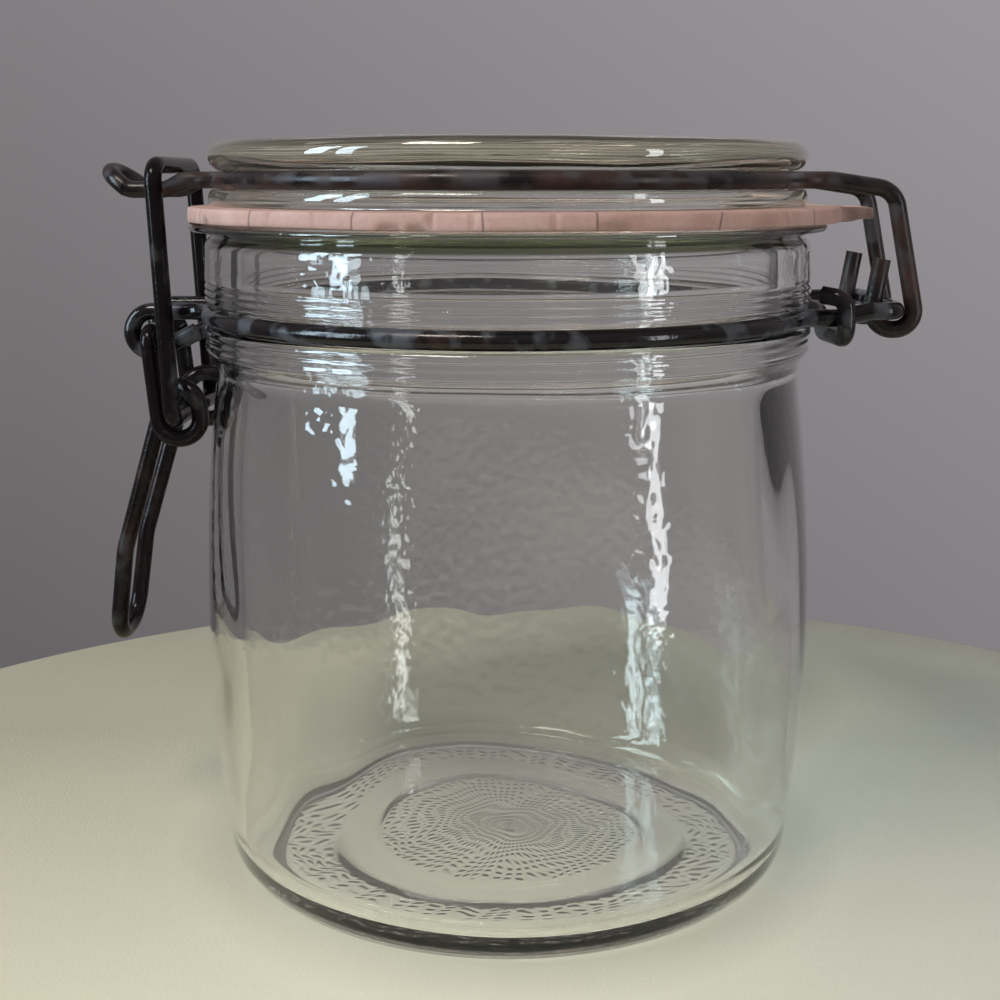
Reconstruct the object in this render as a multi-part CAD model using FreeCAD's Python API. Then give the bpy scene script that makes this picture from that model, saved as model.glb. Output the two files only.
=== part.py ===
import FreeCAD, Part
import math
import os

# Glass preserving jar with a clip-top lid, empty, shut and latched.
# +Z is up, the hinge is at +X and the latch at -X, and the origin is the middle
# of the foot, on the table. Sizes are in millimetres.

os.makedirs("parts", exist_ok=True)

# ---- glass of the jar ----
mouth_radius = 44.4        # clear opening
body_radius = 50.0         # widest part of the barrel
widest_height = 48.0       # where the barrel is widest
neck_height = 24.45        # barrel to lip
bore_foot_inset = 0.8      # the inside narrows this much on its way down
floor_thickness = 4.2
heel_radius = 4.5
foot_radius = 42.2         # outer edge of the ring it stands on
foot_width = 4.4
foot_recess = 1.4          # how far the underside is raised
shoulder_drop = 1.95       # how much smaller the barrel's top is than the collar
shoulder_rise = 3.7        # over which the barrel widens to the bead
floor_corner = 4.0
collar_wall = 5.7          # mouth to the outside of the collar
bead_drop = 17.05          # lip to the middle of the bead below the neck wire
bead_width = 1.8
under_bead_height = 2.6    # a second, flatter bead below it
lip_thickness = 1.75       # under the lip's overhang
collar_round = 2.6
rib_depth = 0.28           # fine ribs round the collar
lip_overhang = 2.65        # how far the lip stands out from the collar
lip_top = 103.65           # the jar's height without its lid
lip_edge = 0.35            # upright part of the lip's edge

# ---- rubber ring ----
ring_thickness = 2.6
ring_inset = 2.3           # mouth to the inside of the ring
ring_proud = 1.15          # how far the ring stands out past the lip
tab_width = 13.0
tab_reach = 5.6            # pull tab, past the ring's outer edge
tab_thickness = 2.1

# ---- glass lid ----
lid_overlap = 5.1          # mouth to the lid's outer edge
lid_thickness = 10.5       # seat to the top
lid_groove_depth = 3.15
lid_groove_slack = 0.2     # how much wider the groove is than its wire
lid_step_height = 2.7      # the lower flange
boss_height = 2.2          # the step that keeps the ring in place
boss_width = 5.0
hollow_depth = 4.7         # underside of the lid, above the seat
top_recess = 0.8
top_rim = 8.0

# ---- wires ----
wire = 2.8                 # diameter of every wire
neck_wire_drop = 14.55     # lip to the neck wire
neck_wire_sink = 2.2       # how deep its middle lies below the neck wire's groove edge
eye_clearance = 0.55       # round the lever's pins in their eyes
ear_half = 7.0             # the two ears stand this far each side of the middle
ear_reach = 9.3            # neck wire to the lever's pivot
ear_tail_angle = 27.7      # rise of the ear's returning end
ear_tail = 6.5
loop_half = 15.2           # the hinge loop's two strands
hinge_reach = 12.6         # neck wire to the hinge
hinge_rise = 1.1
wrap_gap = 0.25            # the wire end hooked round the hinge loop
hook_half = 10.8           # the lid wire's two hooks
hook_clearance = 0.5
leg_lean = 3.2             # the legs lean out this much over their height
hook_tail = 8.0            # the hooks' ends stand up past the hinge
tail_lean = 1.5
lid_wire_sag = 1.35        # the hinge strands run lower than the lid's groove
nose_half = 5.5
nose_dip = 1.6             # the nose dips where the bail sits
nose_rise = 3.1            # and its end turns up
nose_slope = 4.1           # over this length
nose_reach = 19.0          # lid wire to the end of the nose
plan_bend = 6.0            # where a wire leaves its ring
side_gap = 0.3             # between wires that pass each other
lever_arm = 14.4           # pivot to the middle of the lever's coil
coil_clearance = 0.65      # round the bail's pins in the lever's coils
coil_stretch = 1.2
lever_lean = 7.0           # degrees, as far as the glass lets it swing in
handle_start = 12.3
handle_bend_drop, handle_bend_out = 35.8, 9.7
handle_end_drop, handle_end_out = 50.8, 13.2
handle_pinch = 1.4         # the two strands of the handle draw together
pin_slack = 0.36           # how far the bail's pins are pulled off the middle of the coils
bar_reach = 7.2            # lid edge to the middle of the bail's bar
bar_gap = 1.25             # slack between the bar and the nose
glass_gap = 0.3            # wires and rubber clear of glass that moves past them
wire_radius = wire / 2.0

# ---- sizes that follow ----
barrel_top = lip_top - neck_height
bead_height = lip_top - bead_drop
collar_top = lip_top - lip_thickness
neck_wire_height = lip_top - neck_wire_drop
collar_radius = mouth_radius + collar_wall
barrel_top_radius = collar_radius - shoulder_drop
lip_radius = collar_radius + lip_overhang
ring_inner = mouth_radius + ring_inset
ring_outer = lip_radius + ring_proud
ring_bottom = lip_top + glass_gap
seat = ring_bottom + ring_thickness
lid_radius = mouth_radius + lid_overlap
lid_top = seat + lid_thickness
step_top = seat + lid_step_height
flange_bottom = step_top + wire + lid_groove_slack
lid_groove_radius = lid_radius - lid_groove_depth
lid_wire_height = (step_top + flange_bottom) / 2.0
lid_wire_radius = lid_groove_radius + wire_radius + 0.15
groove_radius = collar_radius - neck_wire_sink - 0.15
neck_wire_radius = groove_radius + wire_radius + 0.15
ear_radius = wire + eye_clearance
coil_radius = wire + coil_clearance
pivot = (-neck_wire_radius - ear_reach, neck_wire_height - ear_radius)
hinge = (neck_wire_radius + hinge_reach, neck_wire_height + hinge_rise)
lever_half = ear_half + wire + side_gap
bail_half = lever_half + wire + side_gap
bar = (-lid_radius - bar_reach, lid_wire_height - nose_dip + wire + bar_gap)


def vec(x, y, z):
    return FreeCAD.Vector(x, y, z)


def bow(end_radius, end_height):
    """Radius of the arc that is upright at the widest height and meets a given end."""
    rise = abs(end_height - widest_height)
    inset = body_radius - end_radius
    return (rise * rise + inset * inset) / (2.0 * inset)


def barrel_radius(height):
    """Outside radius of the barrel at a height."""
    upper = height > widest_height
    end = (barrel_top_radius, barrel_top) if upper else (foot_radius + heel_radius, heel_radius)
    arc = bow(*end)
    drop = height - widest_height
    return body_radius - arc + math.copysign(math.sqrt(arc * arc - drop * drop), arc)


def turned(points):
    """A solid of revolution. A point is (radius, height), and a third value 'arc' makes it
    the middle of an arc between its neighbours."""
    edges = []
    at = 0
    count = len(points)
    while at < count:
        here = vec(points[at][0], 0, points[at][1])
        after = points[(at + 1) % count]
        if len(after) == 3:
            end = points[(at + 2) % count]
            edges.append(Part.Arc(here, vec(after[0], 0, after[1]), vec(end[0], 0, end[1])).toShape())
            at += 2
        else:
            edges.append(Part.LineSegment(here, vec(after[0], 0, after[1])).toShape())
            at += 1
    face = Part.Face(Part.Wire(edges))
    return face.revolve(vec(0, 0, 0), vec(0, 0, 1), 360)


def round_corner(corner_r, corner_z, size, start, end):
    """Middle point of a quarter round whose centre is (corner_r, corner_z)."""
    middle = math.radians((start + end) / 2.0)
    return (corner_r + size * math.cos(middle), corner_z + size * math.sin(middle), 'arc')


def ribs(radius, bottom, top, count, depth):
    """Shallow half-round ribs up a wall, as profile points."""
    pitch = (top - bottom) / count
    points = [(radius - depth, bottom)]
    for i in range(count):
        points += [(radius, bottom + (i + 0.5) * pitch, 'arc'), (radius - depth, bottom + (i + 1) * pitch)]
    return points


def make_jar():
    heel = foot_radius + heel_radius
    foot_inner = foot_radius - foot_width
    low_mid = (heel_radius + widest_height) / 2.0
    high_mid = (widest_height + barrel_top) / 2.0
    bead_bottom = bead_height - bead_width / 2.0
    bead_top = bead_height + bead_width / 2.0
    under_bead = bead_bottom - under_bead_height
    line = under_bead + under_bead_height * 0.6
    groove_top = neck_wire_height + wire_radius + 0.3
    outside = [
        (0, foot_recess), (foot_inner - foot_recess, foot_recess), (foot_inner, 0),
        (foot_radius, 0), round_corner(foot_radius, heel_radius, heel_radius, -90, 0),
        (heel, heel_radius),
        (barrel_radius(low_mid), low_mid, 'arc'), (body_radius, widest_height),
        (barrel_radius(high_mid), high_mid, 'arc'), (barrel_top_radius, barrel_top),
        (barrel_top_radius + 0.3, barrel_top + 0.55 * shoulder_rise, 'arc'),
        (collar_radius - 0.75, barrel_top + shoulder_rise), (collar_radius - 0.45, under_bead + 0.1),
        (collar_radius - 0.15, under_bead + 0.8, 'arc'), (collar_radius - 0.4, line),
        (collar_radius - 0.12, (line + bead_bottom) / 2.0, 'arc'), (collar_radius - 0.4, bead_bottom),
        (collar_radius + 0.05, bead_height, 'arc'), (collar_radius - 0.5, bead_top - 0.1),
        (groove_radius, bead_top + 0.1), (groove_radius, groove_top),
    ]
    rib_top = groove_top + 3.3
    outside += ribs(collar_radius, groove_top, rib_top, 3, rib_depth)
    outside += [
        (collar_radius - 0.02, rib_top + 0.2), (collar_radius - 0.1, collar_top - collar_round),
        (collar_radius - 0.45, collar_top - 0.35 * collar_round, 'arc'),
        (collar_radius - 1.35, collar_top),
        (lip_radius - 0.5, lip_top - lip_edge - 0.45),
        (lip_radius, lip_top - lip_edge), (lip_radius - 0.35, lip_top),
    ]
    inner_top = mouth_radius
    bore_foot = mouth_radius - bore_foot_inset
    inside = [
        (inner_top + 0.9, lip_top), round_corner(inner_top + 0.9, lip_top - 0.9, 0.9, 90, 180),
        (inner_top, lip_top - 0.9),
        (inner_top, bead_height), (bore_foot, floor_thickness + floor_corner),
        round_corner(bore_foot - floor_corner, floor_thickness + floor_corner, floor_corner, 0, -90),
        (bore_foot - floor_corner, floor_thickness), (0, floor_thickness),
    ]
    return turned(outside + inside)


def make_lid():
    edge = (lid_top - flange_bottom) / 2.0
    boss_outer = ring_inner - 0.15
    boss_bottom = seat - boss_height
    boss_inner = boss_outer - boss_width
    hollow_top = seat + hollow_depth
    return turned([
        (0, hollow_top), (boss_inner - 3.0, hollow_top), (boss_inner, boss_bottom + 0.8),
        (boss_inner + 0.8, boss_bottom), (boss_outer - 0.5, boss_bottom),
        (boss_outer, boss_bottom + 0.8), (boss_outer, seat), (lid_radius - 0.6, seat),
        (lid_radius - 0.25, seat + 0.35), (lid_radius - 0.25, step_top - 0.5),
        (lid_radius - 0.75, step_top), (lid_groove_radius, step_top),
        (lid_groove_radius, flange_bottom), (lid_radius - edge, flange_bottom),
        (lid_radius, flange_bottom + edge, 'arc'), (lid_radius - edge, lid_top),
        (lid_radius - top_rim, lid_top), (lid_radius - top_rim - 1.2, lid_top - top_recess),
        (0, lid_top - top_recess),
    ])


def make_ring():
    """Flat rubber ring with its pull tab, which points between the hinge legs."""
    ring = turned([
        (ring_inner, ring_bottom), (ring_outer - 0.3, ring_bottom),
        (ring_outer, ring_bottom + 0.3), (ring_outer, seat - 0.3), (ring_outer - 0.3, seat),
        (ring_inner, seat),
    ])
    length = ring_outer + tab_reach - (ring_inner + 2.0)
    low = ring_bottom + (ring_thickness - tab_thickness) / 2.0
    tab = Part.makeBox(length, tab_width, tab_thickness, vec(ring_inner + 2.0, -tab_width / 2.0, low))
    ends = [e for e in tab.Edges if abs(e.Vertexes[0].X - e.Vertexes[1].X) < 1e-6
            and e.Vertexes[0].X > ring_outer and abs(e.Vertexes[0].Z - e.Vertexes[1].Z) > 1e-6]
    tab = tab.makeFillet(tab_width * 0.3, ends)
    return ring.fuse(tab).removeSplitter()


def bent(corners, bends):
    """Edges of a wire's path: straight runs between corners, joined by tangent arcs."""
    edges = []
    start = corners[0]
    for i in range(1, len(corners) - 1):
        into = (corners[i] - corners[i - 1]).normalize()
        out = (corners[i + 1] - corners[i]).normalize()
        turn = into.getAngle(out)
        if turn < 1e-4:
            continue
        reach = bends[i - 1] * math.tan(turn / 2.0)
        inward = (out - into).normalize()
        first = corners[i] - into * reach
        last = corners[i] + out * reach
        middle = corners[i] + inward * (bends[i - 1] / math.cos(turn / 2.0) - bends[i - 1])
        if (first - start).Length > 1e-3:
            edges.append(Part.LineSegment(start, first).toShape())
        edges.append(Part.Arc(first, middle, last).toShape())
        start = last
    edges.append(Part.LineSegment(start, corners[-1]).toShape())
    return edges


def swept(edges):
    """A round wire along a path."""
    path = Part.Wire(edges)
    first = edges[0]
    start = first.valueAt(first.FirstParameter)
    along = first.tangentAt(first.FirstParameter)
    section = Part.Wire([Part.makeCircle(wire_radius, start, along)])
    return path.makePipeShell([section], True, False)


def leave_ring(radius, strand_y, height, bend):
    """Where a wire bends off a ring on the -X side and runs outwards along y = strand_y.
    Returns the point on the ring, the middle of the bend and the point on the strand."""
    side = math.copysign(1.0, strand_y)
    centre_y = strand_y + side * bend
    centre_x = -math.sqrt((radius + bend) ** 2 - centre_y ** 2)
    share = radius / (radius + bend)
    on_ring = vec(centre_x * share, centre_y * share, height)
    on_strand = vec(centre_x, strand_y, height)
    centre = vec(centre_x, centre_y, height)
    middle_way = ((on_ring - centre) + (on_strand - centre)).normalize()
    return on_ring, centre + middle_way * bend, on_strand


def flip_x(point):
    return vec(-point.x, point.y, point.z)


def ring_arc(radius, height, begin, end, side):
    """Part of a ring, from one point to another, round the given side in Y."""
    start_angle = math.atan2(begin.y, begin.x)
    end_angle = math.atan2(end.y, end.x)
    if side < 0:
        if start_angle > 0:
            start_angle -= 2 * math.pi
        if end_angle > 0:
            end_angle -= 2 * math.pi
    half = (start_angle + end_angle) / 2.0
    return Part.Arc(begin, vec(radius * math.cos(half), radius * math.sin(half), height), end).toShape()


def ear(side):
    """The eye that carries one of the lever's pins: from its tucked-in end to the bend
    where it meets the ring. Ends at the ring."""
    y = side * ear_half
    px, pz = pivot
    leave = math.radians(ear_tail_angle - 90.0)
    tangent = vec(px + ear_radius * math.cos(leave), y, pz + ear_radius * math.sin(leave))
    along = vec(math.cos(math.radians(ear_tail_angle)), 0, math.sin(math.radians(ear_tail_angle)))
    tail = tangent + along * ear_tail
    halfway = math.radians((ear_tail_angle - 90.0 - 270.0) / 2.0)
    round_middle = vec(px + ear_radius * math.cos(halfway), y, pz + ear_radius * math.sin(halfway))
    top = vec(px, y, pz + ear_radius)
    on_ring, bend_middle, on_strand = leave_ring(neck_wire_radius, y, neck_wire_height, plan_bend - 1.0)
    return [
        Part.LineSegment(tail, tangent).toShape(),
        Part.Arc(tangent, round_middle, top).toShape(),
        Part.LineSegment(top, on_strand).toShape(),
        Part.Arc(on_strand, bend_middle, on_ring).toShape(),
    ], on_ring


def make_front_neck_wire():
    """Front half: an ear, half the neck, and the open loop that the lid hinges on."""
    edges, on_ring = ear(-1)
    ring_end, bend_middle, on_strand = [
        flip_x(p) for p in leave_ring(neck_wire_radius, -loop_half, neck_wire_height, plan_bend - 1.0)]
    edges.append(ring_arc(neck_wire_radius, neck_wire_height, on_ring, ring_end, -1))
    edges.append(Part.Arc(ring_end, bend_middle, on_strand).toShape())
    hx, hz = hinge
    edges += bent([
        on_strand, vec(on_strand.x + 2.2, -loop_half, neck_wire_height),
        vec(hx - 4.5, -loop_half, hz), vec(hx, -loop_half, hz), vec(hx, loop_half, hz),
        vec(neck_wire_radius - 0.1, loop_half, hz - 0.5),
    ], [6, 6, 3, 3])
    return swept(edges)


def make_back_neck_wire():
    """Back half: an ear, half the neck, and an end that hooks under and round the loop's
    near strand and lies back towards the neck."""
    edges, on_ring = ear(1)
    off = math.radians(14.0)
    leaves = vec(neck_wire_radius * math.cos(off), neck_wire_radius * math.sin(off), neck_wire_height)
    edges.append(ring_arc(neck_wire_radius, neck_wire_height, on_ring, leaves, 1))
    along = vec(math.sin(off), -math.cos(off), 0)
    hook = wire + wrap_gap
    past_bead = collar_radius + wire_radius + 0.6
    x = past_bead + 1.0
    near = -loop_half - hook
    low, high = neck_wire_height - hook, neck_wire_height + hook + 0.15
    edges += bent([
        leaves, leaves + along * 3.0, vec(past_bead, 1.0, neck_wire_height),
        vec(past_bead - 0.6, -8.0, low + 0.1), vec(x, near, low), vec(x, near, high),
        vec(x - 3.5, near + 1.65, high + 0.6),
    ], [5.0, 5.0, 4.0, 2.4, 2.0])
    return swept(edges)


def make_lid_wire():
    """One wire: a hook, a leg, half the lid, the nose, the other half, a leg, a hook."""
    hx, hz = hinge
    hook = wire + hook_clearance
    bottom = hz - hook
    lid_edge, bend_middle, on_strand = [
        flip_x(p) for p in leave_ring(lid_wire_radius, -hook_half, lid_wire_height, plan_bend)]
    low = lid_wire_height - lid_wire_sag
    leg_height = lid_wire_height - lid_wire_sag - hz
    foot_out = hook * (1.0 + leg_lean / leg_height)
    tail_out = hook * (1.0 + tail_lean / hook_tail)
    hinge_side = [
        vec(hx - hook + tail_lean, -hook_half, hz + hook_tail),
        vec(hx - tail_out, -hook_half, bottom), vec(hx + foot_out, -hook_half, bottom),
        vec(hx + hook - leg_lean, -hook_half, low - 0.2),
        vec(on_strand.x + 0.9, -hook_half, lid_wire_height), on_strand,
    ]
    near = bent(hinge_side, [3.1, 3.1, 3.6, 6])
    near.append(Part.Arc(on_strand, bend_middle, lid_edge).toShape())
    nose_ring, nose_middle, nose_strand = leave_ring(lid_wire_radius, -nose_half, lid_wire_height, plan_bend)
    near.append(ring_arc(lid_wire_radius, lid_wire_height, lid_edge, nose_ring, -1))
    near.append(Part.Arc(nose_ring, nose_middle, nose_strand).toShape())
    tip_x = -lid_wire_radius - nose_reach
    dip = lid_wire_height - nose_dip
    nose_side = [
        nose_strand, vec(nose_strand.x - 0.9, -nose_half, lid_wire_height),
        vec(bar[0] + 0.3, -nose_half, dip), vec(tip_x + nose_slope, -nose_half, dip),
        vec(tip_x, -nose_half, dip + nose_rise), vec(tip_x, 0, dip + nose_rise),
    ]
    near += bent(nose_side, [3, 4, 3, nose_half - 0.6])
    half = swept(near)
    return half.fuse(half.mirror(vec(0, 0, 0), vec(0, 1, 0))).removeSplitter()


def lever_lean_angle():
    """As much of the lever's lean as leaves its coil clear of the barrel."""
    lean = lever_lean
    while lean > -40.0:
        turn = math.radians(lean)
        gaps = []
        for i in range(8):
            around = math.radians(-90.0 + 15.0 * i)
            out = coil_radius * (1.0 + math.cos(around))
            down = lever_arm - coil_radius * math.sin(around)
            x = pivot[0] + out * math.cos(turn) + down * math.sin(turn)
            z = pivot[1] + out * math.sin(turn) - down * math.cos(turn)
            gaps.append(math.hypot(x, lever_half) - wire_radius - barrel_radius(z))
        if min(gaps) >= glass_gap:
            return lean
        lean -= 0.25
    return lean


def on_lever(out, y, down):
    """A point of the lever, from its pivot, in place."""
    turn = math.radians(lever_lean_angle())
    return vec(pivot[0] + out * math.cos(turn) - down * math.sin(turn), y,
               pivot[1] + out * math.sin(turn) + down * math.cos(turn))


def make_lever():
    """One wire: a pin, a strand, a coil for the bail, the finger loop, and back again."""
    inner = ear_half - wire_radius - 0.6
    strand = lever_half - wire - side_gap
    grip = strand - handle_pinch
    low = -lever_arm - coil_radius
    top = -lever_arm + coil_stretch
    over = math.hypot(2 * coil_radius, lever_half - strand) / 2.0
    corners = [
        on_lever(0, -inner, 0), on_lever(0, -lever_half, 0), on_lever(0, -lever_half, low),
        on_lever(2 * coil_radius, -lever_half, low), on_lever(2 * coil_radius, -lever_half, top + over),
        on_lever(0, -strand, top + over), on_lever(0, -strand, -handle_start),
        on_lever(-handle_bend_out, -(strand + grip) / 2.0, -handle_bend_drop),
        on_lever(-handle_end_out, -grip, -handle_end_drop),
        on_lever(-handle_end_out, 0, -handle_end_drop),
    ]
    bends = [2.0, coil_radius - 0.01, coil_radius - 0.01, over - 0.01, over - 0.01, 4.0, 12.0, grip - 0.4]
    half = swept(bent(corners, bends))
    return half.fuse(half.mirror(vec(0, 0, 0), vec(0, 1, 0))).removeSplitter()


def make_bail():
    """A closed link: its bar lies over the nose and its pins turn in the lever's coils."""
    pin = on_lever(coil_radius - pin_slack, 0, -lever_arm)
    inner = lever_half - wire - side_gap - wire_radius - 0.4
    corners = [
        vec(pin.x, -inner, pin.z), vec(pin.x, -bail_half, pin.z), vec(bar[0], -bail_half, bar[1]),
        vec(bar[0], 0, bar[1]),
    ]
    half = swept(bent(corners, [2.0, 3.2]))
    return half.fuse(half.mirror(vec(0, 0, 0), vec(0, 1, 0))).removeSplitter()


pieces = {
    "jar_glass": make_jar(),
    "neck_wire_front": make_front_neck_wire(),
    "neck_wire_back": make_back_neck_wire(),
    "lid_glass": make_lid(),
    "lid_wire": make_lid_wire(),
    "seal_ring": make_ring(),
    "lever": make_lever(),
    "bail": make_bail(),
}

for name, shape in pieces.items():
    solid = shape.Solids[0] if shape.Solids else shape
    solid.exportStep("parts/%s.step" % name)
    box = solid.BoundBox
    print("%-16s solids %d valid %s volume %.1f mm3  x %.1f..%.1f y %.1f..%.1f z %.1f..%.1f" % (
        name, len(shape.Solids), solid.isValid(), solid.Volume, box.XMin, box.XMax, box.YMin,
        box.YMax, box.ZMin, box.ZMax))

pin = on_lever(coil_radius - pin_slack, 0, -lever_arm)
print("lever pivot (%.3f, %.3f)  bail pin (%.3f, %.3f)  bar (%.3f, %.3f)  hinge (%.3f, %.3f)  lean %.2f" % (
    pivot[0], pivot[1], pin.x, pin.z, bar[0], bar[1], hinge[0], hinge[1], lever_lean_angle()))
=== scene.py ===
import bpy
import math
import numpy as np
from mathutils import Matrix, Vector


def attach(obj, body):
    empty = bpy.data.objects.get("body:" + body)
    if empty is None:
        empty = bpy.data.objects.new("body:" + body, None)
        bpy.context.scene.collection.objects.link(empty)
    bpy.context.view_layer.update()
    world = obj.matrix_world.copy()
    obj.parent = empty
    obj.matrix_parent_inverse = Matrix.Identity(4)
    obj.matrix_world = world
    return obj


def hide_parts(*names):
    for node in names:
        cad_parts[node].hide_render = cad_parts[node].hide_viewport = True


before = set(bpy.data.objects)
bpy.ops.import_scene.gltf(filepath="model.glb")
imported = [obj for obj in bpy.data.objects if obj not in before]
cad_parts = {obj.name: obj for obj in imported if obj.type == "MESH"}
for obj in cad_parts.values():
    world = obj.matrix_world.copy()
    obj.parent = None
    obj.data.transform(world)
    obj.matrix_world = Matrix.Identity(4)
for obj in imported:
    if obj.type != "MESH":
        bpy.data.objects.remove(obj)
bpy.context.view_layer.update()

mm = 0.001
print("frame loaded:", ", ".join(sorted(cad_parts)))


# Points of a profile: straight runs between corners, and where a corner is marked "arc"
# the circle through it and its two neighbours, sampled about every step millimetres.
def profileLine(corners, step):
    parts = []
    at = 0
    while at < len(corners) - 1:
        a = np.array(corners[at][:2], float)
        following = corners[at + 1]
        if len(following) == 3:
            m, b = np.array(following[:2], float), np.array(corners[at + 2][:2], float)
            at += 2
            d = 2 * (a[0] * (m[1] - b[1]) + m[0] * (b[1] - a[1]) + b[0] * (a[1] - m[1]))
            sq = [p @ p for p in (a, m, b)]
            centre = np.array([
                (sq[0] * (m[1] - b[1]) + sq[1] * (b[1] - a[1]) + sq[2] * (a[1] - m[1])) / d,
                (sq[0] * (b[0] - m[0]) + sq[1] * (a[0] - b[0]) + sq[2] * (m[0] - a[0])) / d])
            angles = [math.atan2(*(p - centre)[::-1]) for p in (a, m, b)]
            turn = (angles[2] - angles[0]) % (2 * math.pi)
            if (angles[1] - angles[0]) % (2 * math.pi) > turn:
                turn -= 2 * math.pi
            reach = np.linalg.norm(a - centre)
            count = max(4, int(abs(turn) * reach / step) + 1)
            sweep = angles[0] + turn * np.arange(count) / count
            parts.append(centre + reach * np.c_[np.cos(sweep), np.sin(sweep)])
        else:
            b = np.array(following[:2], float)
            at += 1
            count = max(2, int(np.linalg.norm(b - a) / step) + 1)
            share = np.arange(count)[:, None] / count
            parts.append(a + (b - a) * share)
    parts.append(np.array([corners[-1][:2]], float))
    return np.concatenate(parts)


# A mesh object from points (n, 3) in millimetres, quads (m, 4) and triangles (k, 3).
def meshPiece(name, points, quads, triangles=None):
    mesh = bpy.data.meshes.new(name)
    corners = quads.ravel()
    starts = np.arange(len(quads)) * 4
    if triangles is not None:
        starts = np.concatenate([starts, len(corners) + np.arange(len(triangles)) * 3])
        corners = np.concatenate([corners, triangles.ravel()])
    mesh.vertices.add(len(points))
    mesh.vertices.foreach_set("co", (points * mm).astype(np.float32).ravel())
    mesh.loops.add(len(corners))
    mesh.loops.foreach_set("vertex_index", corners.astype(np.int32))
    mesh.polygons.add(len(starts))
    mesh.polygons.foreach_set("loop_start", starts.astype(np.int32))
    mesh.update(calc_edges=True)
    mesh.polygons.foreach_set("use_smooth", np.ones(len(starts), bool))
    mesh.validate()
    made = bpy.data.objects.new(name, mesh)
    bpy.context.scene.collection.objects.link(made)
    return made


# A closed turned surface: x = r cos t, y = r sin t, z = h, where the profile (r, h) starts and
# ends on the axis and shape(r, h, t) may move r and h. The two ends are single points.
def turnedPiece(name, line, columns, shape=None):
    turn = 2 * np.pi * np.arange(columns) / columns
    r, t = np.meshgrid(line[1:-1, 0], turn, indexing="ij")
    h = np.meshgrid(line[1:-1, 1], turn, indexing="ij")[0]
    if shape:
        r, h = shape(r, h, t)
    rows = len(r)
    points = np.stack([r * np.cos(t), r * np.sin(t), h], -1).reshape(-1, 3)
    ends = [[0, 0, h[0].mean()], [0, 0, h[-1].mean()]]
    index = np.arange(rows * columns).reshape(rows, columns)
    right = np.roll(index, -1, 1)
    quads = np.stack([index[:-1], right[:-1], right[1:], index[1:]], -1).reshape(-1, 4)
    first, last = rows * columns, rows * columns + 1
    fans = np.concatenate([
        np.stack([np.full(columns, first), right[0], index[0]], -1),
        np.stack([np.full(columns, last), index[-1], right[-1]], -1)])
    return meshPiece(name, np.concatenate([points, ends]), quads, fans)


# Waves round and up a wall: the sum of a cos(n t + m h + p) over whole numbers n, so that it
# closes on itself; a falls as n rises.
def wallWaves(seed, turns, heights, count, fall):
    dice = np.random.default_rng(seed)
    n = dice.integers(turns[0], turns[1] + 1, count)
    m = dice.uniform(heights[0], heights[1], count) * dice.choice([-1, 1], count)
    p = dice.uniform(0, 2 * np.pi, count)
    size = (turns[0] / n) ** fall
    size /= np.sqrt((size ** 2).sum() / 2)

    def waves(t, h):
        total = np.zeros_like(t)
        for k in range(count):
            total += size[k] * np.cos(n[k] * t + m[k] * h + p[k])
        return total
    return waves


# 0 below low, 1 above high, and s * s * (3 - 2 s) of the share s between them.
def smoothStep(low, high, value):
    share = np.clip((value - low) / (high - low), 0, 1)
    return share * share * (3 - 2 * share)


def newMaterial(name):
    material = bpy.data.materials.new(name)
    material.use_nodes = True
    material.node_tree.nodes.clear()
    return material, material.node_tree


# Adds a node; inputs are plain values or the output sockets that feed them.
def addNode(tree, kind, inputs=None, **settings):
    made = tree.nodes.new(kind)
    for key, value in settings.items():
        setattr(made, key, value)
    for key, value in (inputs or {}).items():
        if isinstance(value, bpy.types.NodeSocket):
            tree.links.new(value, made.inputs[key])
        else:
            made.inputs[key].default_value = value
    return made


def addMath(tree, operation, *values):
    return addNode(tree, "ShaderNodeMath", dict(enumerate(values)), operation=operation).outputs[0]


# The product of all the values, and below it their sum.
def addTimes(tree, first, *others):
    for other in others:
        first = addMath(tree, "MULTIPLY", first, other)
    return first


def addPlus(tree, first, *others):
    for other in others:
        first = addMath(tree, "ADD", first, other)
    return first


# The value held between low and high.
def addHeld(tree, value, low, high):
    return addMath(tree, "MINIMUM", addMath(tree, "MAXIMUM", value, low), high)


# The value times scale, plus shift.
def addScaled(tree, value, scale, shift):
    return addMath(tree, "MULTIPLY_ADD", value, scale, shift)


# The outputs of a sum on vectors.
def addVector(tree, operation, *values):
    return addNode(tree, "ShaderNodeVectorMath", dict(enumerate(values)), operation=operation).outputs


# The range (a, b) carried over to the range (c, d), and held there.
def addRange(tree, value, before, after=(0.0, 1.0), kind="LINEAR"):
    return addNode(tree, "ShaderNodeMapRange", {
        "Value": value, "From Min": before[0], "From Max": before[1],
        "To Min": after[0], "To Max": after[1]}, interpolation_type=kind).outputs[0]


# 1 between low and high and 0 outside, with soft edges.
def addBand(tree, value, low, high, soft):
    up = addRange(tree, value, (low - soft, low + soft), kind="SMOOTHSTEP")
    down = addRange(tree, value, (high - soft, high + soft), kind="SMOOTHSTEP")
    return addMath(tree, "SUBTRACT", up, down)


# Cloudy values round 0.5, finer as the scale grows.
def addNoise(tree, place, scale, detail=2.0, roughness=0.5):
    return addNode(tree, "ShaderNodeTexNoise", {
        "Vector": place, "Scale": scale, "Detail": detail, "Roughness": roughness}).outputs["Fac"]


# Colours laid along a value: stops are pairs of a spot and its colour.
def addRamp(tree, value, stops):
    made = addNode(tree, "ShaderNodeValToRGB", {"Fac": value})
    ramp = made.color_ramp
    while len(ramp.elements) < len(stops):
        ramp.elements.new(0.5)
    for element, (spot, colour) in zip(ramp.elements, stops):
        element.position = spot
        element.color = (*colour, 1)
    return made.outputs["Color"]


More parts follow.
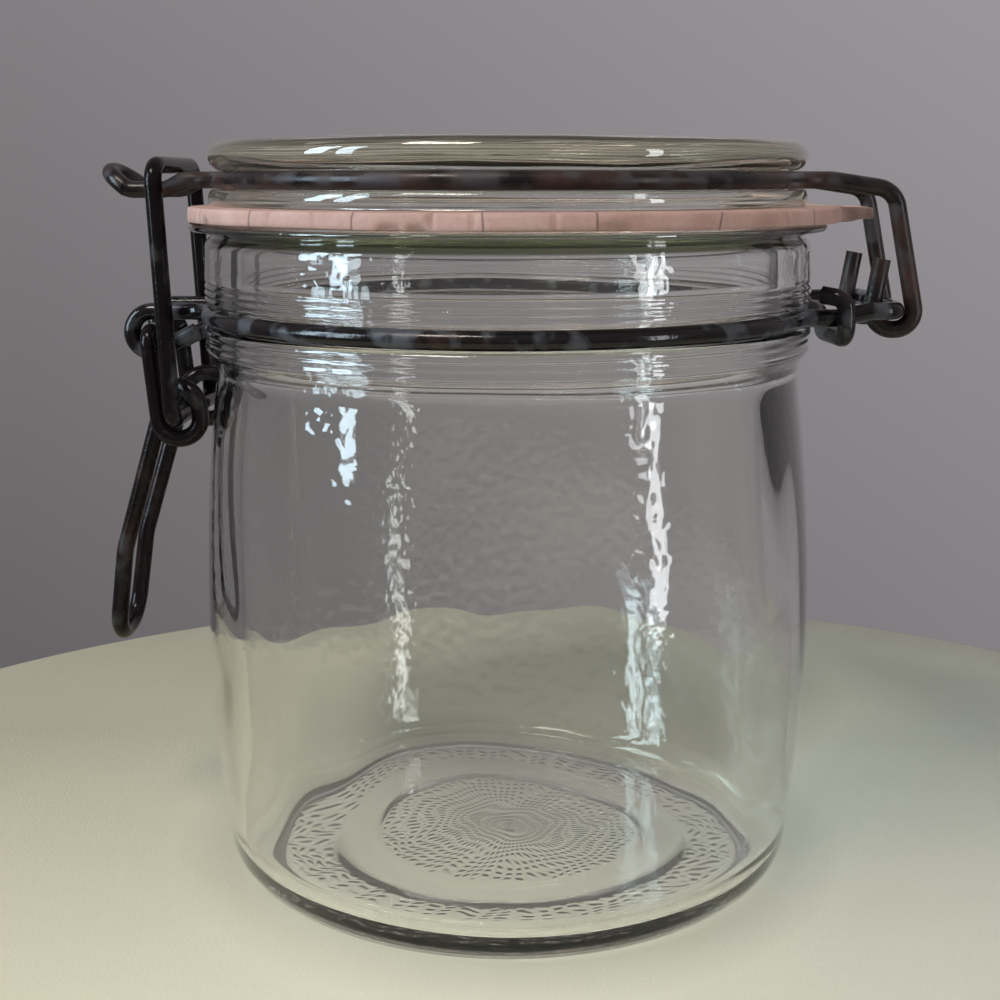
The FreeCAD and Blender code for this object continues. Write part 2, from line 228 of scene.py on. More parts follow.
# Colour a where share is 0 and colour b where it is 1.
def addMix(tree, share, a, b):
    made = addNode(tree, "ShaderNodeMix", {"Factor": share}, data_type="RGBA")
    for socket, value in (("A", a), ("B", b)):
        target = [s for s in made.inputs if s.name == socket and s.type == "RGBA"][0]
        if isinstance(value, bpy.types.NodeSocket):
            tree.links.new(value, target)
        else:
            target.default_value = (*value, 1)
    return [s for s in made.outputs if s.type == "RGBA"][0]


# The surface's direction tilted by heights, in the unit given by distance.
def addBump(tree, height, strength=1.0, distance=mm):
    return addNode(tree, "ShaderNodeBump", {
        "Height": height, "Strength": strength, "Distance": distance}).outputs[0]


# Height above the table, distance from the axis and turn round it, in millimetres and radians.
def addRoundPlace(tree, place):
    xyz = addNode(tree, "ShaderNodeSeparateXYZ", {0: place})
    x, y, z = (addTimes(tree, xyz.outputs[i], 1 / mm) for i in range(3))
    out = addMath(tree, "SQRT", addPlus(tree, addTimes(tree, x, x), addTimes(tree, y, y)))
    return z, out, addMath(tree, "ARCTAN2", y, x)


# Wires the shader, and what fills the piece, to the material's output.
def finishMaterial(tree, shader, volume=None):
    output = addNode(tree, "ShaderNodeOutputMaterial", {"Surface": shader})
    if volume:
        tree.links.new(volume, output.inputs["Volume"])


def grey(v):
    return (v, v, v)


glassLook = {
    "surface": (0.985, 0.99, 0.98),
    "body": (0.80, 0.77, 0.50),       # what is left of the light that passes through
    "density": 8.0,                   # per metre
    "ior": 1.5,
    "skin": 0.85,                     # share of the light mirrored by the peeled skin,
    "under": (0.12, 0.12, 0.12),      # and by the smooth glass under it
}


# Clear glass with a fine orange-peel skin. peel(tree, place, z) gives the skin's heights and
# relief(tree, out, turn) those of a cast pattern under the floor, in millimetres. The look is
# the piece's own dictionary. One material serves a whole piece, so that light which goes into
# the glass also comes out of it.
def makeGlass(name, look, peel, relief=None):
    material, tree = newMaterial(name)
    place = addNode(tree, "ShaderNodeTexCoord").outputs["Object"]
    z, out, turn = addRoundPlace(tree, place)
    values = {
        "Base Color": (*glassLook["surface"], 1), "Roughness": 0.0, "IOR": glassLook["ior"],
        "Transmission Weight": 1.0, "Specular Tint": (*glassLook["under"], 1),
        "Coat Weight": glassLook["skin"], "Coat IOR": glassLook["ior"], "Coat Roughness": 0.0,
        "Coat Normal": addBump(tree, peel(tree, place, z))}
    passed = (*look["lampPass"], 1)
    # painted shade: a dark green band in the glass's colour between two heights
    if "paintedLipShade" in look:
        low, high, colour = look["paintedLipShade"]
        values["Base Color"] = addMix(tree, addBand(tree, z, low, high, 0.25), glassLook["surface"], colour)
    if relief:
        height, radius = look["castArea"]
        area = addTimes(tree, addBand(tree, z, -5.0, height, 0.2), addBand(tree, out, -5.0, radius, 0.3))
        values["Normal"] = addBump(tree, addTimes(tree, relief(tree, out, turn), area))
        passed = addMix(tree, area, look["lampPass"], grey(1.0))
    shader = addNode(tree, "ShaderNodeBsdfPrincipled", values).outputs[0]
    if "wornSkin" in look:
        near, far, share, colour = look["wornSkin"]
        worn = addNode(tree, "ShaderNodeBsdfDiffuse", {"Color": (*colour, 1)}).outputs[0]
        amount = addTimes(tree, addBand(tree, out, near, far, 1.0), share)
        shader = addNode(tree, "ShaderNodeMixShader", {0: amount, 1: shader, 2: worn}).outputs[0]
    through = addNode(tree, "ShaderNodeBsdfTransparent", {"Color": passed}).outputs[0]
    isLamp = addNode(tree, "ShaderNodeLightPath").outputs["Is Shadow Ray"]
    shader = addNode(tree, "ShaderNodeMixShader", {0: isLamp, 1: shader, 2: through}).outputs[0]
    finishMaterial(tree, shader, addNode(tree, "ShaderNodeVolumeAbsorption", {
        "Color": (*glassLook["body"], 1), "Density": glassLook["density"]}).outputs[0])
    return material


# Sizes of the jar in millimetres.
jar = {
    "mouthRadius": 44.4, "bodyRadius": 50.0, "widest": 48.0, "barrelTop": 79.2,
    "collarRadius": 50.1, "lipRadius": 52.75, "lipTop": 103.65, "beadHeight": 86.6,
    "footRadius": 42.2, "heelRadius": 4.5, "floor": 3.9, "floorCorner": 3.4, "boreFoot": 43.6,
    "recess": 1.35, "castRing": (21.8, 29.8), "castRingDrop": 0.33,
    "grooveDepth": 2.35, "grooveTop": 91.05, "ridges": 3, "ridgePitch": 1.1, "ridgeDepth": 0.28,
    "columns": 320, "step": 1.12,
    # waves of the wall, and the heights where they begin, calm down and end
    "outerWaves": 0.055, "innerWaves": 0.20, "wavesBegin": (5, 24), "wavesCalm": (76, 84),
    "wavesEnd": (100.0, 101.5),
    "lean": 0.9, "leanHeights": (6, 45),                  # low down the inside sits toward the hinge
    "floorWaves": 0.07, "floorDish": 0.25, "dishRadius": 12.5,
    "lampPass": (0.87, 0.88, 0.89),                       # light let through by each skin of a wall
    # painted shade: dark green in the glass's colour at the lip, for the shade where lip meets collar
    "paintedLipShade": (100.7, 103.0, (0.12, 0.14, 0.07)),      # heights of the deep green at the lip
    "castArea": (2.0, 38.0),                              # the cast pattern lies below and inside
    "stippled": ((-5.0, 21.6, 0.020), (30.0, 36.2, 0.026)),   # from, to, depth
    "stippleRings": 3.4, "stippleSpokes": 76.0, "stippleWander": 1.7,
    "wanderWaves": ((0.31, 0.47), (-0.52, 0.29), (0.83, -0.61)),
    "peelScale": 620.0, "peelHeights": (20.0, 80.0), "peelDepths": (0.055, 0.080),
}


# Radius of the barrel at height h: an arc that is upright at the widest height.
def barrelRadius(h):
    h = np.asarray(h, float)
    top, foot = jar["collarRadius"] - 1.95, jar["footRadius"] + jar["heelRadius"]
    end = np.where(h > jar["widest"], top, foot)
    rise = np.where(h > jar["widest"], jar["barrelTop"], jar["heelRadius"]) - jar["widest"]
    inset = jar["bodyRadius"] - end
    bow = (rise ** 2 + inset ** 2) / (2 * inset)
    return jar["bodyRadius"] - bow + np.sqrt(bow ** 2 - (h - jar["widest"]) ** 2)


# The jar's profile from the middle of the base out, up the outside, over the lip and down the
# inside to the middle of the floor; with it the number of its points that lie outside.
def jarProfile():
    j = jar
    foot, heel, recess = j["footRadius"], j["heelRadius"], j["recess"]
    collar, lip, top, bead = j["collarRadius"], j["lipRadius"], j["lipTop"], j["beadHeight"]
    groove, grooveTop = collar - j["grooveDepth"], j["grooveTop"]
    barrelEnd = collar - 1.95
    low, high = (float(barrelRadius(h)) for h in (26, 63.6))
    ringIn, ringOut = j["castRing"]
    ringFace = recess - j["castRingDrop"]
    outside = [
        (0, recess), (ringIn, recess), (ringIn + 1.0, ringFace + 0.1, "arc"), (ringIn + 2.2, ringFace),
        (ringOut - 2.6, ringFace), (ringOut - 1.2, ringFace + 0.1, "arc"), (ringOut, recess),
        (foot - 5.6, recess + 0.05), (foot - 4.5, 0.9, "arc"), (foot - 3.9, 0.15), (foot - 2.0, 0.0, "arc"),
        (foot - 0.2, 0.1), (foot + heel * 0.68, heel * 0.3, "arc"), (foot + heel, heel),
        (low, 26, "arc"), (j["bodyRadius"], j["widest"]), (high, 63.6, "arc"), (barrelEnd, j["barrelTop"]),
        (barrelEnd + 0.3, j["barrelTop"] + 2.03, "arc"), (collar - 0.8, bead - 3.75), (collar - 0.45, bead - 3.45),
        (collar - 0.16, bead - 2.7, "arc"), (collar - 0.42, bead - 1.94),
        (collar - 0.14, bead - 1.42, "arc"), (collar - 0.42, bead - 0.9),
        (collar + 0.03, bead - 0.05, "arc"), (collar - 0.5, bead + 0.78), (groove, bead + 1.0),
        (groove, grooveTop - 0.25), (collar - 0.35, grooveTop),
    ]
    for i in range(j["ridges"]):
        h = grooveTop + i * j["ridgePitch"]
        outside += [(collar, h + j["ridgePitch"] / 2, "arc"), (collar - j["ridgeDepth"], h + j["ridgePitch"])]
    outside += [
        (collar - 0.02, 94.7), (collar - 0.1, 99.3), (collar - 0.35, 101.0, "arc"),
        (collar - 1.25, 101.9), (lip - 0.9, 102.75), (lip - 0.1, 103.1, "arc"), (lip - 0.3, top - 0.08),
    ]
    mouth, bore, corner, floor = j["mouthRadius"], j["boreFoot"], j["floorCorner"], j["floor"]
    inside = [
        (mouth + 0.9, top), (mouth + 0.26, top - 0.26, "arc"), (mouth, top - 0.9), (mouth, bead),
        (bore, floor + corner), (bore - corner * 0.293, floor + corner * 0.293, "arc"),
        (bore - corner, floor), (0, floor),
    ]
    return profileLine(outside + inside, j["step"]), len(profileLine(outside, j["step"]))


# The profile turned round the axis.
def makeJar():
    j = jar
    line, outer = jarProfile()
    isInner = (np.arange(len(line)) >= outer)[1:-1, None]
    outerWaves = wallWaves(11, (4, 26), (0.01, 0.12), 22, 1.0)
    innerWaves = wallWaves(5, (3, 20), (0.008, 0.10), 22, 1.15)
    floorWaves = wallWaves(8, (1, 7), (0.0, 0.02), 9, 0.8)

    # r and h plus slow waves, most on the inside, and none where the neck is finished.
    def shape(r, h, t):
        wall = smoothStep(*j["wavesBegin"], h) * (1 - 0.75 * smoothStep(*j["wavesCalm"], h)) * (r > 30)
        wall = wall * (1 - smoothStep(*j["wavesEnd"], h))
        r = r + wall * np.where(isInner, j["innerWaves"] * innerWaves(t, h), j["outerWaves"] * outerWaves(t, h))
        floor = isInner * (h < 12) * smoothStep(0, 20, r)
        low = isInner * (1 - smoothStep(*j["leanHeights"], h)) * smoothStep(0, 30, r)
        r = r + low * j["lean"] * np.cos(t)
        dish = isInner * (h < 4.7) * j["floorDish"] * np.cos(r / j["dishRadius"])
        h = h + floor * j["floorWaves"] * floorWaves(t, r * 4) + dish
        return r, h

    made = turnedPiece("jarGlass", line, j["columns"], shape)
    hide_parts("jar_glass")
    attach(made, "jar")
    return made


# Cast pattern under the base: rings crossed with spokes, both thrown about by three waves,
# in a stippled middle and a stippled outer band between smooth rings.
def jarRelief(tree, out, turn):
    x, y = (addTimes(tree, addMath(tree, side, turn), out) for side in ("COSINE", "SINE"))
    waves = [addMath(tree, "SINE", addScaled(tree, y, b, addTimes(tree, x, a))) for a, b in jar["wanderWaves"]]
    jitter = addTimes(tree, addPlus(tree, *waves), jar["stippleWander"])
    rings = addMath(tree, "SINE", addPlus(tree, addTimes(tree, out, jar["stippleRings"]), jitter))
    spokes = addMath(tree, "SINE", addScaled(tree, jitter, 0.6, addTimes(tree, turn, jar["stippleSpokes"])))
    stipple = addTimes(tree, addPlus(tree, rings, 0.5), addPlus(tree, spokes, 0.8))
    where = [addTimes(tree, addBand(tree, out, low, high, 0.6), depth) for low, high, depth in jar["stippled"]]
    return addTimes(tree, stipple, addPlus(tree, *where))


# Orange peel: strongest round the collar and high on the barrel, fainter below.
def jarPeel(tree, place, z):
    depth = addRange(tree, z, jar["peelHeights"], jar["peelDepths"])
    return addTimes(tree, addNoise(tree, place, jar["peelScale"], 0.0), depth)


# Sizes of the lid in millimetres.
lid = {
    "radius": 49.5, "seat": 106.55, "stepTop": 109.25, "flangeBottom": 112.25, "top": 117.05,
    "grooveRadius": 46.35, "bossRadius": 46.55, "bossBottom": 104.35, "hollow": 111.25,
    "rimWidth": 8.0, "dip": 0.8,                          # the top's raised rim, and how far it dips inside
    "columns": 288, "step": 0.8,
    "faceWaves": 0.07, "topShare": 0.6,                   # waves of the faces, and their share on top
    "edgeLoss": 0.09, "slowEdge": 0.05, "fineEdge": 0.03,   # how untrue the rim is
    "lampPass": (0.93, 0.94, 0.92),
    "wornSkin": (44.0, 60.0, 0.07, (0.47, 0.41, 0.32)),   # from, to, share, colour
    "peelStretch": (60, 60, 700), "peelDepth": 0.009,
}


# The lid's profile, from the middle of the hollow out and round to the middle of the top,
# turned round the axis.
def makeLid():
    d = lid
    boss, foot, radius, groove = d["bossRadius"], d["bossBottom"], d["radius"], d["grooveRadius"]
    seat, step, flange, top = d["seat"], d["stepTop"], d["flangeBottom"], d["top"]
    edge, rim = (top - flange) / 2, radius - d["rimWidth"]
    line = profileLine([
        (0, d["hollow"]), (boss - 9.0, d["hollow"]), (boss - 6.6, d["hollow"] - 1.2, "arc"),
        (boss - 5.3, foot + 1.0), (boss - 4.6, foot + 0.15, "arc"), (boss - 3.6, foot),
        (boss - 0.7, foot), (boss - 0.18, foot + 0.25, "arc"), (boss, foot + 0.8),
        (boss, seat - 0.02), (radius - 0.75, seat), (radius - 0.33, seat + 0.2, "arc"),
        (radius - 0.25, seat + 0.6), (radius - 0.1, seat + 1.05, "arc"), (radius - 0.3, step - 0.55),
        (radius - 0.55, step - 0.12, "arc"), (radius - 1.0, step),
        (groove + 0.3, step), (groove, step + 0.3), (groove, flange - 0.3), (groove + 0.4, flange),
        (radius - edge, flange), (radius, flange + edge, "arc"), (radius - edge, top),
        (rim, top - 0.05), (rim - 0.7, top - 0.3, "arc"), (rim - 1.4, top - d["dip"]), (0, top - d["dip"]),
    ], d["step"])
    waves = wallWaves(21, (2, 17), (0.0, 0.35), 16, 0.9)
    slow = wallWaves(4, (1, 5), (0.0, 0.02), 6, 0.6)

    # A pressed rim that is not quite true: slow waves in its edge and its faces.
    def shape(r, h, t):
        rim = smoothStep(38, 47, r) * smoothStep(seat + 1, flange, h)
        flat = smoothStep(10, 36, r) * (h > d["hollow"] - 0.5)
        h = h + flat * d["faceWaves"] * waves(t, r) * np.where(h < top - 2.4, 1, d["topShare"])
        h = np.minimum(h, top)
        r = r - rim * (d["edgeLoss"] + d["slowEdge"] * slow(t, h) + d["fineEdge"] * waves(t, h))
        return r, h

    made = turnedPiece("lidGlass", line, d["columns"], shape)
    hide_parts("lid_glass")
    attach(made, "lid")
    return made


# Faint turned streaks round the rim and a little orange peel.
def lidPeel(tree, place, z):
    stretched = addNode(tree, "ShaderNodeMapping", {"Vector": place, "Scale": lid["peelStretch"]}).outputs[0]
    return addTimes(tree, addNoise(tree, stretched, 1.0, 2.0), lid["peelDepth"])


# Sizes of the rubber ring in millimetres, and its colours.
ring = {
    "inner": 46.7, "outer": 53.9, "bottom": 103.95, "top": 106.55, "tabWidth": 13.0, "tabReach": 59.5,
    "pushed": 1.0,                                        # how far its edge sits toward the hinge
    "shrunk": 0.22, "ragged": 0.16, "curl": 0.11,         # of the free edge, which is old
    "cracks": (-2.64, -2.22, -2.06, -1.73, -1.62, -1.42, -0.75, -0.70, 0.5, 0.9, 1.7, 1.9, 2.5, 2.9),
    "chips": 16,
    "columns": 720, "rows": 5, "across": 15,
    "colour": (0.355, 0.205, 0.172), "pale": (0.44, 0.29, 0.252), "dirt": (0.13, 0.080, 0.066),
    "dust": 0.18, "lineScale": 2.6, "lineWander": 0.05,
}


# How far turns t lie from each place, along a new last axis, taken the short way round.
def turnsApart(t, places):
    return np.angle(np.exp(1j * (t[:, None] - places)))


# The section carried round the axis is a rounded flat strip; its outer side stands out to the
# tab's end over the tab's width. Waves move the free edge, and cracks cut into it.
def makeRing():
    g = ring
    t = 2 * np.pi * np.arange(g["columns"]) / g["columns"]
    # the tab's outline joins the round edge with soft corners
    half = g["tabWidth"] / 2
    straight = g["tabReach"] / np.maximum(np.cos(t), 0.2)
    besideTab = np.abs(g["outer"] * np.sin(t))
    share = np.where(np.cos(t) > 0, smoothStep(half + 0.55, half - 0.25, besideTab), 0)
    free = wallWaves(31, (3, 34), (0, 0.001), 26, 0.55)(t, t * 0)
    reach = g["outer"] + (straight - g["outer"]) * share
    reach = reach + (g["pushed"] * np.cos(t) - g["shrunk"] - g["ragged"] * free) * (1 - share)
    # cracks across the side and chips along the lower edge
    dice = np.random.default_rng(3)
    cracks = np.array(g["cracks"])
    width = dice.uniform(0.0035, 0.007, len(cracks))
    depth = dice.uniform(0.35, 1.1, len(cracks))
    notch = (depth * np.exp(-(turnsApart(t, cracks) / width) ** 2)).sum(1)
    chipAt = dice.uniform(-np.pi, np.pi, g["chips"])
    chipWide = dice.uniform(0.015, 0.05, g["chips"])
    chip = np.exp(-(turnsApart(t, chipAt) / chipWide) ** 4).sum(1).clip(0, 1)
    lift = g["curl"] * wallWaves(7, (2, 9), (0, 0.001), 8, 0.4)(t, t * 0)

    low, high = g["bottom"], g["top"]
    mid, thick = (low + high) / 2, (high - low) / 2
    # section, once round: out over the top, down the outer side, back below
    top = np.stack([np.linspace(0, 1, g["across"]), np.ones(g["across"])], -1)
    side = np.stack([np.ones(g["rows"]), np.linspace(0.86, -0.86, g["rows"])], -1)
    section = np.concatenate([top, side, top[::-1] * [1, -1]])
    over, up = section[:, 0][:, None], section[:, 1][:, None]
    r = g["inner"] + (reach[None, :] - g["inner"]) * over
    rounded = np.where(over > 0.97, 0.18 * np.abs(up) ** 6, 0)
    atSide = smoothStep(0.86, 1.0, over)
    r = r - rounded - notch[None, :] * atSide * (0.75 + 0.25 * up)
    r = r - chip[None, :] * atSide * smoothStep(0.2, -0.9, up) * 0.55
    edge = smoothStep(0.78, 1.0, over)
    z = mid + thick * up * (1 - 0.10 * edge) + lift[None, :] * edge * (up < 0) * 0.9
    z = z + chip[None, :] * edge * (up < -0.5) * 0.35
    # the tab is thinner and droops a little at its end
    tab = share[None, :] * smoothStep(g["outer"] - 1.0, g["outer"] + 3.0, r)
    z = mid + (z - mid) * (1 - 0.22 * tab) + tab * 0.25 * np.sin(r * 1.1)
    z = np.clip(z, low, high)
    turn = np.broadcast_to(t[None, :], r.shape)
    points = np.stack([r * np.cos(turn), r * np.sin(turn), z], -1).reshape(-1, 3)
    rows, columns = r.shape
    index = np.arange(rows * columns).reshape(rows, columns)
    down, right = np.roll(index, -1, 0), np.roll(index, -1, 1)
    corner = np.roll(down, -1, 1)
    quads = np.stack([index, down, corner, right], -1).reshape(-1, 4)
    made = meshPiece("rubberRing", points, quads)
    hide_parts("seal_ring")
    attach(made, "lid")
    return made


# Aged rubber: two pinks in blotches, thin cracks at uneven turns round the ring, and dust.
def makeRubber():
    material, tree = newMaterial("agedRubber")
    place = addNode(tree, "ShaderNodeTexCoord").outputs["Object"]
    blotch = addNoise(tree, place, 95.0, 4.0, 0.6)
    grain = addNoise(tree, place, 1400.0, 3.0, 0.65)
    colour = addMix(tree, addRamp(tree, blotch, [(0.32, grey(0)), (0.68, grey(1))]), ring["colour"], ring["pale"])
    turn = addRoundPlace(tree, place)[2]
    wander = addTimes(tree, addNoise(tree, place, 120.0, 2.0), ring["lineWander"])
    cells = addNode(tree, "ShaderNodeTexVoronoi", {
        "W": addPlus(tree, turn, wander), "Scale": ring["lineScale"]},
        voronoi_dimensions="1D", feature="DISTANCE_TO_EDGE").outputs["Distance"]
    line = addRange(tree, cells, (-0.002, 0.013))
    colour = addMix(tree, line, ring["dirt"], colour)
    dust = addTimes(tree, addRamp(tree, grain, [(0.45, grey(0)), (0.7, grey(1))]), ring["dust"])
    colour = addMix(tree, dust, colour, ring["dirt"])
    height = addPlus(tree, addTimes(tree, grain, 0.05), addTimes(tree, line, 0.12))
    finishMaterial(tree, addNode(tree, "ShaderNodeBsdfPrincipled", {
        "Base Color": colour, "Roughness": 0.72, "IOR": 1.4, "Normal": addBump(tree, height, 0.8)}).outputs[0])
    return material


# Old zinced wire gone near black. For each wire: the rust and the pale worn patches (0 to 1),
# the colour of the patches, how rough the bare wire is and how much it shines.
wireLooks = {
    "lid_wire": ("lidWireRust", 0.75, 0.55, (0.040, 0.033, 0.036), 0.26, 0.4),
    "neck_wire_front": ("neckWireZinc", 0.10, 0.62, (0.062, 0.064, 0.074), 0.13, 0.4),
    "neck_wire_back": ("neckWireZincBack", 0.10, 0.45, (0.045, 0.047, 0.053), 0.16, 0.4),
    "lever": ("leverWire", 0.20, 0.05, (0.030, 0.028, 0.028), 0.14, 0.16),
    "bail": ("bailWire", 0.10, 0.03, (0.030, 0.028, 0.028), 0.12, 0.14),
}
bareWire = {
    "dark": (0.0016, 0.0012, 0.0014), "light": (0.0105, 0.0078, 0.0082), "rust": (0.044, 0.020, 0.014),
    "metallic": 0.15, "ior": 1.45, "pitting": 0.06 * mm,
}


# Fine noise mixes the two bare colours; broad noise lays the rust over them, and a third the
# worn patches. Rust and patches are rougher than bare wire.
def makeWire(name, rust, patches, patchColour, rough, shine):
    material, tree = newMaterial(name)
    place = addNode(tree, "ShaderNodeTexCoord").outputs["Object"]
    broad = addNoise(tree, place, 110.0, 4.0, 0.6)
    fine = addNoise(tree, place, 900.0, 3.0, 0.6)
    colour = addMix(tree, fine, bareWire["dark"], bareWire["light"])
    rusty = addRamp(tree, broad, [(0.60 - rust * 0.25, grey(0)), (0.78 - rust * 0.2, grey(1))])
    colour = addMix(tree, addTimes(tree, rusty, 0.75), colour, bareWire["rust"])
    worn = addScaled(tree, fine, 0.12, addNoise(tree, place, 200.0, 1.0))
    pale = addRamp(tree, worn, [(0.68 - patches * 0.2, grey(0)), (0.80 - patches * 0.2, grey(1))])
    colour = addMix(tree, addTimes(tree, pale, 0.8), colour, patchColour)
    finishMaterial(tree, addNode(tree, "ShaderNodeBsdfPrincipled", {
        "Base Color": colour, "Metallic": bareWire["metallic"], "IOR": bareWire["ior"],
        "Roughness": addScaled(tree, addPlus(tree, rusty, pale), 0.22, rough),
        "Specular IOR Level": shine, "Normal": addBump(tree, fine, 0.7, bareWire["pitting"])}).outputs[0])
    return material


for piece, material in (
        (makeJar(), makeGlass("jarGlassClear", jar, jarPeel, jarRelief)),
        (makeLid(), makeGlass("lidGlassClear", lid, lidPeel)),
        (makeRing(), makeRubber())):
    piece.data.materials.append(material)
    print("%s: %d faces" % (piece.name, len(piece.data.polygons)))

for nodeName, wireLook in wireLooks.items():
    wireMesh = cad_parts[nodeName].data
    wireMesh.materials.clear()
    wireMesh.materials.append(makeWire(*wireLook))
    wireMesh.polygons.foreach_set("material_index", np.zeros(len(wireMesh.polygons), np.int32))
print("wires:", ", ".join(wireLooks))


# The table in millimetres, the windows in metres.
room = {
    "tableCentre": (7.6, -37.4), "tableRadius": 172.7, "tableDepth": 50.0, "tableColumns": 180,
    # painted light: the cloth's colour is warm on the left and greyer on the right, in the shade of the warm light
    "cloth": (0.515, 0.468, 0.345), "clothShadedRight": (0.500, 0.498, 0.435), "clothTurns": (-0.10, 0.14),
    # painted light: the cloth is painted lighter toward the front
    "nearer": (0.04, -0.12), "paintedLightFront": (0.64, 1.42),      # the cloth grows lighter toward the front
    # painted light and shade on the cloth under the jar's middle, its floor's rim and its heel, and beyond
    "paintedLightUnderJar": ((0.33, 0.30), (0.40, 0.32), (0.455, 0.40), (0.56, 0.5)), "underJarScale": 2.2,
    "shadeCentre": (0.006, 0.070, 0.0), "shadeSize": (15.5, 17.0, 1.0),   # the broad shade behind the jar
    "shadeEdge": (0.62, 1.0), "shadeLight": (0.50, 0.92),
    "wall": (0.252, 0.238, 0.250), "wallRight": 0.15, "wallUp": 0.22,
    "wallAcross": (-0.35, 0.35), "wallHeights": (-0.3, 0.4),
    "ambient": 0.33, "ambientColour": (1.0, 0.99, 0.99, 1),
    # turn from the camera's side, width, low and high ends, distance, strength, colour
    "windows": [
        (-71.5, 0.18, 0.06, 0.78, 1.15, 8.0, (0.66, 0.86, 1.0)),
        (-58.5, 0.15, -0.04, 0.78, 1.15, 7.0, (0.70, 0.88, 1.0)),
        (56.0, 0.105, -0.30, 0.50, 1.15, 3.4, (0.94, 0.97, 1.0)),
        (-32.0, 0.40, 0.85, 1.10, 0.62, 7.5, (1.0, 0.93, 0.84)),
    ],
}


# A flat disc with a rounded edge, turned round its own middle, with the cloth over it.
def makeTable():
    radius, depth = room["tableRadius"], room["tableDepth"]
    line = np.array([
        (0, -depth), (radius, -depth), (radius, -5.0), (radius - 1.0, -1.2),
        (radius - 4.0, 0), (radius * 0.9, 0), (radius * 0.5, 0), (0, 0)])
    made = turnedPiece("tableCloth", line, room["tableColumns"])
    made.data.transform(Matrix.Translation([v * mm for v in (*room["tableCentre"], 0)]))
    made.data.materials.append(makeCloth())


# The cloth's colour turns greyer to the right, a painted tint for the side in the shade of the warm light. Its
# light is the product of soft blotches in its tone, a painted rise toward the front, painted shade under the jar
# set by the distance from its middle, and a painted shadow behind it.
def makeCloth():
    material, tree = newMaterial("paleCloth")
    place = addNode(tree, "ShaderNodeTexCoord").outputs["Object"]
    xyz = addNode(tree, "ShaderNodeSeparateXYZ", {0: place}).outputs
    blotch = addNoise(tree, place, 14.0)
    weave = addNoise(tree, place, 2200.0, 0.0, 0.6)
    # painted light: greyer to the right, where the cloth lies in the shade of the warm light
    colour = addMix(tree, addRange(tree, xyz[0], room["clothTurns"]), room["cloth"], room["clothShadedRight"])
    soft = addRange(tree, blotch, (0.35, 0.65), (0.94, 1.0))
    # painted light: lighter toward the front
    near = addRange(tree, xyz[1], room["nearer"], room["paintedLightFront"])
    out = addVector(tree, "LENGTH", place)["Value"]
    # painted shade under the jar: the cloth's light rises with the distance from the jar's middle
    under = addRamp(tree, addTimes(tree, out, 10.0), [(at, grey(light)) for at, light in room["paintedLightUnderJar"]])
    fromShade = addVector(tree, "SUBTRACT", place, room["shadeCentre"])[0]
    fromShade = addVector(tree, "MULTIPLY", fromShade, room["shadeSize"])[0]
    fromShade = addVector(tree, "LENGTH", fromShade)["Value"]
    behind = addRange(tree, fromShade, room["shadeEdge"], room["shadeLight"])
    light = addTimes(tree, soft, near, under, room["underJarScale"], behind)
    lit = addNode(tree, "ShaderNodeVectorMath", {0: colour, "Scale": light}, operation="SCALE").outputs[0]
    height = addPlus(tree, addTimes(tree, blotch, 1.2), addTimes(tree, weave, 0.06))
    finishMaterial(tree, addNode(tree, "ShaderNodeBsdfPrincipled", {
        "Base Color": lit, "Roughness": 0.85, "Normal": addBump(tree, height, 0.6)}).outputs[0])
    return material


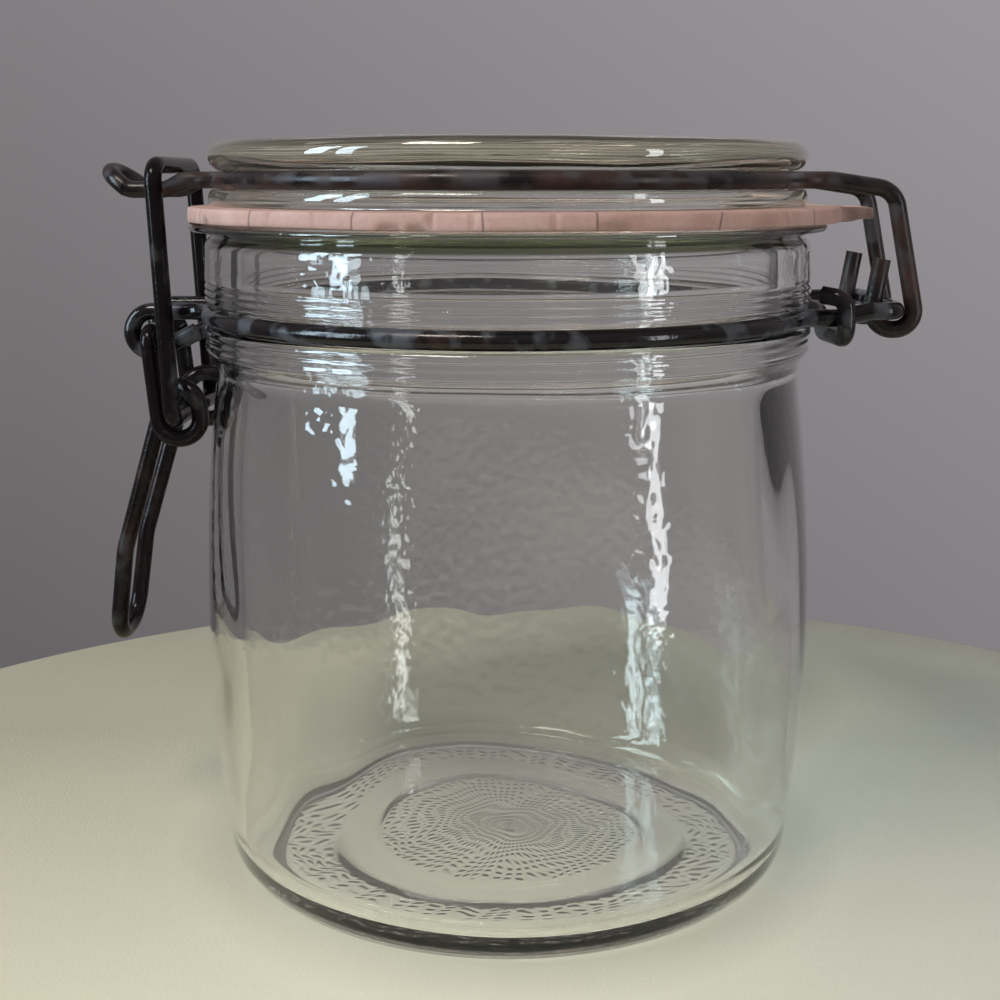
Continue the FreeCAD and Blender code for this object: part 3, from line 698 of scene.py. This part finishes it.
# The wall is the world's colour, a little lighter to the right and higher up. Only the camera,
# mirrors and glass see it; the object is lit by a plain pale world.
def makeWorld():
    world = bpy.data.worlds.new("room")
    bpy.context.scene.world = world
    world.use_nodes = True
    tree = world.node_tree
    tree.nodes.clear()
    way = addNode(tree, "ShaderNodeTexCoord").outputs["Generated"]
    xyz = addNode(tree, "ShaderNodeSeparateXYZ", {0: way}).outputs
    base = room["wall"][0]
    light = addScaled(tree, addHeld(tree, xyz[0], *room["wallAcross"]), room["wallRight"] / base, 1.0)
    light = addScaled(tree, addHeld(tree, xyz[2], *room["wallHeights"]), room["wallUp"] / base, light)
    wall = addNode(tree, "ShaderNodeVectorMath", {0: room["wall"], "Scale": light}, operation="SCALE").outputs[0]
    seen = addNode(tree, "ShaderNodeBackground", {"Color": wall, "Strength": 1.0}).outputs[0]
    lit = addNode(tree, "ShaderNodeBackground", {
        "Color": room["ambientColour"], "Strength": room["ambient"]}).outputs[0]
    path = addNode(tree, "ShaderNodeLightPath").outputs
    isSeen = addMath(tree, "MAXIMUM", path["Is Glossy Ray"], path["Is Transmission Ray"])
    isSeen = addMath(tree, "MAXIMUM", path["Is Camera Ray"], isSeen)
    mixed = addNode(tree, "ShaderNodeMixShader", {0: isSeen, 1: lit, 2: seen}).outputs[0]
    addNode(tree, "ShaderNodeOutputWorld", {"Surface": mixed})


# Area lamps that stand round the jar and face it.
def makeWindows():
    for number, (turn, width, low, high, away, strength, colour) in enumerate(room["windows"]):
        a = math.radians(turn)
        lamp = bpy.data.lights.new("window%d" % (number + 1), "AREA")
        lamp.shape = "RECTANGLE"
        lamp.size, lamp.size_y = width, high - low
        lamp.energy = strength
        lamp.color = colour
        made = bpy.data.objects.new(lamp.name, lamp)
        made.location = (away * math.sin(a), -away * math.cos(a), (low + high) / 2)
        made.rotation_euler = (Vector((0, 0, 0.06)) - made.location).to_track_quat("-Z", "Y").to_euler()
        bpy.context.scene.collection.objects.link(made)


makeTable()
makeWorld()
makeWindows()
print("table, wall and windows made")


view = {"place": (0.00851, -0.24375, 0.11107), "down": 3.0, "turn": 2.0, "lens": 52.2,
        "shiftX": -0.008, "shiftY": -0.246}
lens = bpy.data.cameras.new("camera")
lens.lens = view["lens"]
lens.sensor_width = 36.0
lens.shift_x, lens.shift_y = view["shiftX"], view["shiftY"]
lens.clip_start = 0.01
camera = bpy.data.objects.new("camera", lens)
camera.location = view["place"]
camera.rotation_euler = (math.radians(90 - view["down"]), 0, math.radians(view["turn"]))
bpy.context.scene.collection.objects.link(camera)
bpy.context.scene.camera = camera
bpy.context.scene.view_settings.view_transform = "Standard"

print("camera set")
